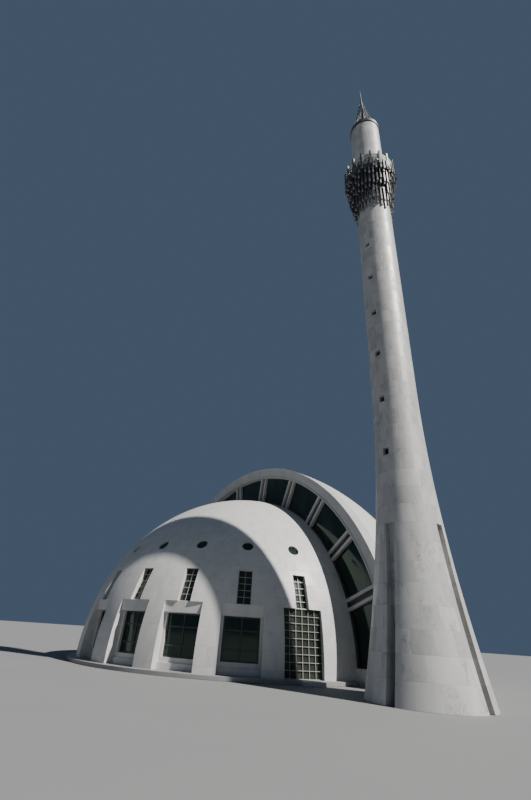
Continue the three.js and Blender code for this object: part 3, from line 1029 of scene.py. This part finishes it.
@dataclass(frozen=True)
class Crescent:
    """Great arch, radial ribs and the slim rim on the front dome's edge."""

    front: Dome
    centre_z: float = REAR_Z
    great: Pair = (10.71, 11.284)
    great_y: Pair = (-0.37, 0.33)
    lip: float = 0.07
    lip_proud: float = 0.035
    glass_y: float = 0.03
    rim: Pair = (8.64, 8.79)
    rim_y: float = -0.06
    rib_y: float = -0.15
    web_y: float = -0.03
    bar_at: float = 0.19
    bar_half: float = 0.07
    web_half: float = 0.13
    ribs: int = 10
    rib_step: float = 15.6
    rib_bite: Pair = (0.1, 0.02)
    steps: int = 144

    def standing_ring(self, section: Sequence[Pair], centre_z: float) -> Shape:
        """A section carried round the half circle that stands on the plinth.

        A point is (r cos b, y, centre + r sin b). Each radius has its own end angle, arcsin of
        the plinth's height over it, so that both feet are cut level.

        Args:
            section: Radius and y of each corner, in order.
            centre_z: Height of the circle's centre.

        Returns:
            The closed ring with its two feet.
        """
        r, y = (np.asarray(c, float) for c in zip(*section))
        foot = np.arcsin((PLINTH_TOP - centre_z) / r)
        b = foot + np.linspace(0, 1, self.steps)[:, None] * (math.pi - 2 * foot)
        return capped(points_of(r * np.cos(b), y, centre_z + r * np.sin(b)))

    def great_arch(self) -> Shape:
        """The great arch, its face sunk a little between a lip at either edge."""
        (r0, r1), (y0, y1) = self.great, self.great_y
        sunk = y0 + self.lip_proud
        section = [(r0, y0), (r0 + self.lip, y0), (r0 + self.lip, sunk), (r1 - self.lip, sunk),
                   (r1 - self.lip, y0), (r1, y0), (r1, y1), (r0, y1)]
        return self.standing_ring(section, self.centre_z)

    def front_rim(self) -> Shape:
        """The slim rim round the edge of the front dome, let into the dome a little."""
        (r0, r1), y0, y1 = self.rim, self.rim_y, self.glass_y
        return self.standing_ring([(r0, y0), (r1, y0), (r1, y1), (r0, y1)], self.front.centre_z)

    def spokes(self, offsets: Sequence[float], half: float, y0: float) -> Shape:
        """Straight bars along every rib, from inside the front dome's edge to the great arch.

        On a line at angle b from the arch's centre the front dome's edge lies at
        d sin b + sqrt(R^2 - (d cos b)^2), with R its radius and d its centre's height over the
        arch's.

        Args:
            offsets: How far the bars of a rib lie to the side of its line.
            half: Half their width.
            y0: The y of their faces.

        Returns:
            All the bars.
        """
        lines = 90 + self.rib_step * (np.arange(self.ribs) - (self.ribs - 1) / 2)
        b = np.radians(np.repeat(lines, len(offsets)))
        aside = np.tile(offsets, self.ribs)[:, None]
        d = self.front.centre_z - self.centre_z
        edge = d * np.sin(b) + np.sqrt(self.front.radius ** 2 - (d * np.cos(b)) ** 2)
        near, far = edge - self.rib_bite[0], self.great[0] + self.rib_bite[1]
        along = points_of(np.cos(b), 0.0, np.sin(b))
        across = points_of(-np.sin(b), 0.0, np.cos(b))
        back = points_of(0 * b, 1.0, 0.0)
        centres = along * ((near + far) / 2)[:, None] + across * aside
        centres = centres + back * (y0 + self.glass_y) / 2 + UP * self.centre_z
        halves = points_of(half, (far - near) / 2, (self.glass_y - y0) / 2)
        return boxes(centres, halves, np.stack([across, along, back], axis=1))

    def build(self, wear: Finishes) -> None:
        """Makes the arch, the ribs and the rim.

        Args:
            wear: The finishes.
        """
        stone = Dressing(wear.arch, Slot.ARCH_STONE, bevel=0.008, smooth_deg=25)
        arch_nodes = [f"great_arch_{part}" for part in ("right", "top", "left")]
        stone.piece("great_arch", self.great_arch(), arch_nodes)
        bars = self.spokes((-self.bar_at, self.bar_at), self.bar_half, self.rib_y)
        stone.piece("crescent_ribs", bars, ["crescent_frame_right", "crescent_frame_left"])
        # The webs are dark: painted shade deep in the gap between each rib's two bars.
        dark = Dressing(wear.frames, Slot.DARK_METAL)
        dark.piece("crescent_rib_webs", self.spokes((0.0,), self.web_half, self.web_y))
        dark.piece("front_dome_rim", self.front_rim())


@dataclass(frozen=True)
class Plinth:
    """Low plinth and floor of the hall, with a block in front of either screen."""

    front_r: float = 9.05
    rear_r: float = 11.66
    rear_y: float = -0.40
    block_half: float = 0.475
    block_depth: float = 0.26
    block_bite: float = 0.05
    block_az: float = 73.0
    bevel: float = 0.012
    steps: int = 180

    def outline(self) -> np.ndarray:
        """Plan of the plinth: the front circle up to the rear edge, then the rear circle."""
        a = math.acos(-self.rear_y / self.front_r)
        b = math.acos(-self.rear_y / self.rear_r)
        sweeps = ((self.front_r, -a, a), (self.rear_r, b, 2 * math.pi - b))
        turns = [(r, np.linspace(start, stop, self.steps)) for r, start, stop in sweeps]
        return np.concatenate([points_of(r * np.sin(t), -r * np.cos(t)) for r, t in turns])

    def build(self, wear: Finishes) -> None:
        """Makes the plinth and its blocks.

        Args:
            wear: The finishes.
        """
        slab = prism(self.outline(), 0.0, PLINTH_TOP, upright=True)
        kerb = Dressing(wear.kerb, Slot.MARBLE, bevel=self.bevel)
        kerb.piece("hall_plinth_stone", slab, ["hall_plinth"])
        block = box((-self.block_half, -self.front_r - self.block_depth, 0),
                    (self.block_half, -self.front_r + self.block_bite, PLINTH_TOP))
        pale = Dressing(wear.flat_marble, Slot.MARBLE, bevel=self.bevel)
        pale.piece("hall_step_blocks", repeated(block, (-self.block_az, self.block_az)))


# The minaret


@dataclass(frozen=True)
class Minaret:
    """Flared tower with four upright grooves in its foot and a column of small windows."""

    base_r: float = 1.954
    shaft_r: float = 0.96
    bore_r: float = 0.70
    flare_h: float = 11.6
    flare_power: float = 2.2
    flare_rings: int = 60
    shaft_from: float = 12.4
    shaft_rings: int = 22
    lantern_r: float = 0.95
    floor_z: float = PLINTH_TOP + 26.75
    floor_t: float = 0.16
    shaft_top: float = PLINTH_TOP + 32.45
    reach: float = 4.0
    groove_half: float = 0.16
    groove_ends: Pair = (-0.01, PLINTH_TOP + 5.22)
    groove_core: Pair = (1.27, 1.06)
    line_az: float = 0.5
    window: Pair = (0.26, 0.30)
    windows: int = 6
    window_low: float = PLINTH_TOP + 8.07
    window_step: float = 2.44
    window_bite: float = 0.1
    pane_depth: float = 0.16
    pane_t: float = 0.02
    sides: int = 112

    def radius(self, z: np.ndarray) -> np.ndarray:
        """Radius at a height: the flare falls as a power of the height left in it."""
        left = np.maximum(0.0, 1 - (z - PLINTH_TOP) / self.flare_h)
        return self.shaft_r + (self.base_r - self.shaft_r) * left ** self.flare_power

    def placed(self, shape: Shape) -> Shape:
        """A shape built on the axis, moved to the minaret's place."""
        return shape.moved((*TOWER_CENTRE, 0))

    def tower(self) -> Shape:
        """The tower below the balcony, a bored solid of revolution."""
        z = np.concatenate([np.linspace(0, PLINTH_TOP + self.flare_h, self.flare_rings),
                            np.linspace(self.shaft_from, self.floor_z, self.shaft_rings)])
        profile = [(self.bore_r, 0.0), *zip(self.radius(z), z), (self.bore_r, self.floor_z)]
        return turned_solid(profile, self.sides)

    @property
    def window_heights(self) -> np.ndarray:
        """Heights of the middles of the small windows."""
        return self.window_low + self.window_step * np.arange(self.windows)

    def window_row(self, near: np.ndarray | float, far: np.ndarray | float) -> Shape:
        """A box at each small window, between a distance from the axis and another.

        Args:
            near: Outer distance of each box.
            far: Inner distance of each box.

        Returns:
            All the boxes, turned to the windows' azimuth.
        """
        w, h = self.window
        centres = points_of(0.0, -(near + far) / 2, self.window_heights)
        halves = points_of(w / 2, (near - far) / 2 + 0 * centres[:, 1], h / 2)
        return boxes(centres, halves).turned(self.line_az)

    def hollows(self) -> Shape:
        """What is cut out of the tower: four grooves in its foot and the small windows."""
        (low, high), (core_low, core_high), out = self.groove_ends, self.groove_core, self.reach
        section = [(-out, low), (-out, high), (-core_low, low), (-core_high, high)]
        corners = [(x, y, z) for x in (-self.groove_half, self.groove_half) for y, z in section]
        groove = Shape(np.array(corners, float), (SIDES,))
        grooves = repeated(groove, [self.line_az + 90 * i for i in range(4)])
        holes = self.window_row(out, self.bore_r - self.window_bite)
        return self.placed(joined([grooves, holes]))

    def window_panes(self) -> Shape:
        """Dark panes that stand back in the small windows."""
        face = self.radius(self.window_heights) - self.pane_depth
        return self.placed(self.window_row(face, face - self.pane_t))

    def build(self, wear: Finishes) -> None:
        """Makes the tower, the lantern and their windows.

        Args:
            wear: The finishes.
        """
        marble = Dressing(wear.tower_marble, Slot.MARBLE)
        nodes = ["minaret_base", "minaret_shaft_lower", "minaret_shaft_upper"]
        marble.piece("minaret_tower", self.placed(self.tower()), nodes, self.hollows())
        low, high, r = self.floor_z + self.floor_t, self.shaft_top, self.lantern_r
        section = [(self.bore_r, low), (r, low), (r, high), (self.bore_r, high)]
        lantern = self.placed(turned_solid(section, self.sides))
        marble.piece("minaret_lantern_shaft", lantern, ["minaret_lantern"])
        Dressing(wear.glass, Slot.GLASS).piece("minaret_window_panes", self.window_panes())


@dataclass(frozen=True)
class Tier:
    """One ring of balcony rods; its heights count from the plinth's top."""

    r: float
    bottom: float
    top: float
    count: int
    width: float = 0.085


@dataclass(frozen=True)
class Balcony:
    """Balcony of hanging rods in tiers, with a railing of posts and pale rails on its floor.

    Heights count from the plinth's top.
    """

    tower: Minaret
    tiers: tuple[Tier, ...] = (
        Tier(1.01, 23.45, 26.60, 28), Tier(1.11, 23.95, 26.70, 32), Tier(1.24, 24.60, 26.75, 35),
        Tier(1.35, 25.20, 26.80, 38), Tier(1.46, 26.00, 26.95, 42), Tier(1.53, 26.40, 27.05, 44))
    seed: int = 7
    drops: tuple[float, ...] = (-0.45, -0.2, 0.0, 0.1, 0.25)
    end_share: float = 0.52
    end_half: float = 0.07
    hoop_inner: float = 0.955
    hoop_rows: tuple[Triple, ...] = (
        (1.50, 26.35, 26.44), (1.30, 25.55, 25.62), (1.14, 24.75, 24.81))
    hoop_sides: int = 64
    posts: int = 18
    post_r: float = 1.545
    post_w: float = 0.11
    post_ends: Pair = (26.45, 27.75)
    rails: int = 6
    rail_top: float = 27.47
    rail_pitch: float = 0.095
    rail_share: float = 0.34
    rail_half_t: float = 0.014
    rail_gap: float = 0.07

    def ring_frames(self, count: int, shift: float = 0.0) -> tuple[np.ndarray, np.ndarray]:
        """Outward directions and local axes at even steps round the tower.

        Args:
            count: Number of places.
            shift: Part of a step by which they start.

        Returns:
            The unit vectors outwards, and the frames of tangent, outwards and up.
        """
        a = 2 * math.pi * (np.arange(count) + shift) / count
        out, side = points_of(np.sin(a), -np.cos(a), 0.0), points_of(np.cos(a), np.sin(a), 0.0)
        return out, np.stack([side, out, np.broadcast_to(UP, out.shape)], axis=1)

    def upright(self, r: float, low: float, high: float, width: float, count: int, shift: float,
                drop: np.ndarray | float = 0.0) -> Shape:
        """Upright square bars round the tower; heights count from the plinth's top.

        Args:
            r: Radius of their centres.
            low: Height of the lower ends.
            high: Height of the upper ends.
            width: Side of the square.
            count: Number of bars.
            shift: Part of a step by which they start.
            drop: How much lower each one ends.

        Returns:
            All the bars.
        """
        out, frames = self.ring_frames(count, shift)
        feet = low - drop * np.ones(count)
        middle = (feet + high) / 2 + PLINTH_TOP
        halves = points_of(width / 2, width / 2, (high - feet) / 2)
        return boxes(out * r + middle[:, None] * UP, halves, frames)

    def hanging_rods(self) -> tuple[Shape, Shape]:
        """The rods of every tier and the light blocks on their lower ends."""
        rng = np.random.default_rng(self.seed)
        rods, ends = [], []
        for i, t in enumerate(self.tiers):
            drop = rng.choice(self.drops, t.count)
            shift = 0.5 * (i % 2)
            rods.append(self.upright(t.r, t.bottom, t.top, t.width, t.count, shift, drop))
            out, frames = self.ring_frames(t.count, shift)
            feet = out * t.r + (t.bottom - drop + PLINTH_TOP)[:, None] * UP
            half = t.width * self.end_share
            ends.append(boxes(feet, (half, half, self.end_half), frames))
        return joined(rods), joined(ends)

    def hoops(self) -> Shape:
        """Rings that tie the tiers to the shaft under the floor."""
        r0, rings = self.hoop_inner, []
        for r1, low, high in self.hoop_rows:
            a, b = low + PLINTH_TOP, high + PLINTH_TOP
            rings.append(turned_solid([(r0, a), (r1, a), (r1, b), (r0, b)], self.hoop_sides))
        return joined(rings)

    def pale_rails(self) -> Shape:
        """Pale rails between the posts of the railing."""
        out, frames = self.ring_frames(self.posts, 0.5)
        middle = out * self.post_r * math.cos(math.pi / self.posts)
        half = self.post_r * math.sin(math.pi / self.posts) - self.rail_gap
        sizes = (half, self.rail_half_t, self.rail_pitch * self.rail_share)
        heights = self.rail_top + PLINTH_TOP - self.rail_pitch * np.arange(self.rails)
        return joined([boxes(middle + z * UP, sizes, frames) for z in heights])

    def build(self, wear: Finishes) -> None:
        """Makes the rods, the hoops and the railing.

        Args:
            wear: The finishes.
        """
        metal = Dressing(wear.rods, Slot.DARK_METAL)
        rods, ends = self.hanging_rods()
        metal.piece("balcony_hanging_rods", self.tower.placed(rods), numbered("balcony_rods", 3))
        Dressing(wear.rod_ends, Slot.SCREEN).piece("balcony_rod_ends", self.tower.placed(ends))
        posts = self.upright(self.post_r, *self.post_ends, self.post_w, self.posts, 0.0)
        railing = self.tower.placed(joined([posts, self.hoops()]))
        metal.piece("balcony_railing", railing, ["balcony_rods_4"])
        rails = self.tower.placed(self.pale_rails())
        Dressing(wear.rail_panels, Slot.DARK_METAL).piece("balcony_panels", rails)


@dataclass(frozen=True)
class Spire:
    """Cap ring on the shaft and the cluster of spikes round a needle.

    The heights of the needle and of the spikes' tips count from the plinth's top.
    """

    tower: Minaret
    cap_r: float = 1.0
    cap_h: float = 0.42
    cap_sides: int = 96
    band_proud: float = 0.05
    band_inset: float = 0.08
    needle: tuple[Pair, ...] = (
        (0.20, 32.87), (0.17, 34.3), (0.13, 35.5), (0.10, 36.6), (0.08, 36.9), (0.045, 37.6),
        (0.012, 38.82))
    needle_sides: int = 24
    spikes: int = 16
    spike_foot_r: float = 0.90
    spike_lean: float = 0.74
    spike_power: float = 0.8
    spike_top: float = 36.6
    spike_half: Pair = (0.034, 0.008)
    spike_rings: int = 9

    def cap(self) -> Shape:
        """Cap of the shaft with a proud band round it."""
        low, r1, inset = self.tower.shaft_top, self.cap_r, self.band_inset
        high, r0 = low + self.cap_h, r1 - self.band_proud
        profile = [(0.0, low), (r0, low), (r0, low + inset), (r1, low + inset), (r1, high - inset),
                   (r0, high - inset), (r0, high), (0.0, high)]
        return turned_solid(profile, self.cap_sides)

    def needle_body(self) -> Shape:
        """The middle needle, a slim solid of revolution."""
        rows = [(r, z + PLINTH_TOP) for r, z in self.needle]
        return turned_solid([(0.0, rows[0][1]), *rows, (0.0, rows[-1][1])], self.needle_sides)

    def spike_set(self) -> Shape:
        """Thin spikes from the rim of the cap, curving in towards the needle.

        A spike's middle line is foot radius less lean times a power of t outwards, and foot
        height plus rise times t upwards; its half width falls evenly from foot to tip.

        Returns:
            All spikes.
        """
        t = np.linspace(0, 1, self.spike_rings)[:, None]
        foot = self.tower.shaft_top + self.cap_h
        r = self.spike_foot_r - self.spike_lean * t ** self.spike_power
        z = foot + (self.spike_top + PLINTH_TOP - foot) * t
        w = self.spike_half[0] * (1 - t) + self.spike_half[1] * t
        x, y = np.array([(-1, -1), (1, -1), (1, 1), (-1, 1)], float).T
        spike = capped(points_of(w * x, -(r + w * y), z))
        return repeated(spike, [360 * i / self.spikes for i in range(self.spikes)])

    def build(self, wear: Finishes) -> None:
        """Makes the cap and the spire.

        Args:
            wear: The finishes.
        """
        metal = Dressing(wear.rods, Slot.DARK_METAL)
        metal.piece("minaret_cap_ring", self.tower.placed(self.cap()), ["minaret_cap"])
        spire = joined([self.needle_body(), self.spike_set()])
        metal.piece("minaret_spire_needles", self.tower.placed(spire), ["minaret_spire"])


# Studio


@dataclass(frozen=True)
class Studio:
    """Pale floor, light and the camera at the photograph's place."""

    eye: Triple = (22.40, -16.03, 1.55)
    look: Triple = (-0.6960, 0.5177, 0.4976)
    down: Triple = (-0.3578, 0.3507, -0.8654)
    focal_share: float = 410.74 / 800
    sensor: float = 36.0
    clip: Pair = (0.1, 2000.0)
    key_from: Triple = (0.935, 0.354, 1.05)
    key_power: float = 6.8
    key_colour: Colour = (1.0, 0.97, 0.92)
    key_deg: float = 1.0
    surround: Colour = (0.26, 0.38, 0.58)
    surround_power: float = 0.24
    floor_half: float = 400.0
    floor_ends: Pair = (-0.22, -0.002)
    floor_tones: tuple[Colour, Colour] = ((0.205, 0.21, 0.215), (0.245, 0.245, 0.245))

    def build(self) -> None:
        """Makes the floor, the lights, the surroundings and the camera."""
        self.floor()
        self.lights()
        self.camera()

    def floor(self) -> None:
        """Plain pale floor under the building."""
        half, (low, high) = self.floor_half, self.floor_ends
        mesh = mesh_of("floor", box((-half, -half, low), (half, half, high)))
        paint = Painter("pale floor")
        base = paint.blend(paint.noise(paint.position(), 0.15, detail=3.0), *self.floor_tones)
        mesh.materials.append(paint.finished({"Base Color": base, "Roughness": 0.8}))
        linked("floor", mesh)

    def lights(self) -> None:
        """A warm key light from the right, and an even cool surround."""
        sun = bpy.data.lights.new("key", "SUN")
        sun.energy, sun.color = self.key_power, self.key_colour
        sun.angle = math.radians(self.key_deg)
        linked("key", sun).rotation_euler = Vector(self.key_from).to_track_quat("Z", "Y").to_euler()
        world = bpy.data.worlds.new("surround")
        world.use_nodes = True
        background = world.node_tree.nodes["Background"].inputs
        background[0].default_value = (*self.surround, 1.0)
        background[1].default_value = self.surround_power
        bpy.context.scene.world = world

    def camera(self) -> None:
        """Camera from its solved place, direction and focal length."""
        data = bpy.data.cameras.new("eye")
        data.sensor_width = self.sensor
        data.lens = self.focal_share * self.sensor
        data.clip_start, data.clip_end = self.clip
        eye = linked("eye", data)
        look, up = Vector(self.look).normalized(), -Vector(self.down)
        side = look.cross(up).normalized()
        up = side.cross(look)
        turn = Matrix((side, up, -look)).transposed().to_4x4()
        eye.matrix_world = Matrix.Translation(self.eye) @ turn
        bpy.context.scene.camera = eye


def dress_nodes(wear: Finishes, nodes: dict[str, bpy.types.Object]) -> None:
    """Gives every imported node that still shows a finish.

    Args:
        wear: The finishes.
        nodes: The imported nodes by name.
    """
    for name, obj in nodes.items():
        bare = wear.arch if name == "balcony_floor" else wear.flat_marble
        obj.data.materials.clear()
        obj.data.materials.append(wear.glass if "glass" in name else bare)


def main() -> None:
    """Builds the studio and every part of the building."""
    logging.basicConfig(level=logging.INFO, format="%(message)s")
    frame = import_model()
    Studio().build()
    wear = Finishes()
    dress_nodes(wear, frame["nodes"])
    Plinth().build(wear)
    front = Dome("front", FRONT_R, FRONT_Z, FRONT_CUT, 0.0, FRONT_BAYS)
    front.build(Dressing(wear.front_marble, Slot.MARBLE),
                [*numbered("front_dome_gore", 10), "front_dome_crown"])
    BayFill(front, (FRONT_BAYS[0], FRONT_BAYS[-1])).build(
        "front", wear, numbered("bay_wall", 7), ["grid_screen_left", "grid_screen_right"])
    rear = Dome("rear", REAR_R, REAR_Z, REAR_CUT, 180.0, REAR_BAYS, columns=208)
    rear.build(Dressing(wear.rear_marble, Slot.MARBLE),
               [*numbered("rear_dome_gore", 4), "rear_dome_crown"])
    BayFill(rear).build("rear", wear, numbered("rear_bay_wall", 3), [])
    Crescent(front).build(wear)
    tower = Minaret()
    tower.build(wear)
    Balcony(tower).build(wear)
    Spire(tower).build(wear)


if __name__ == "__main__":
    main()
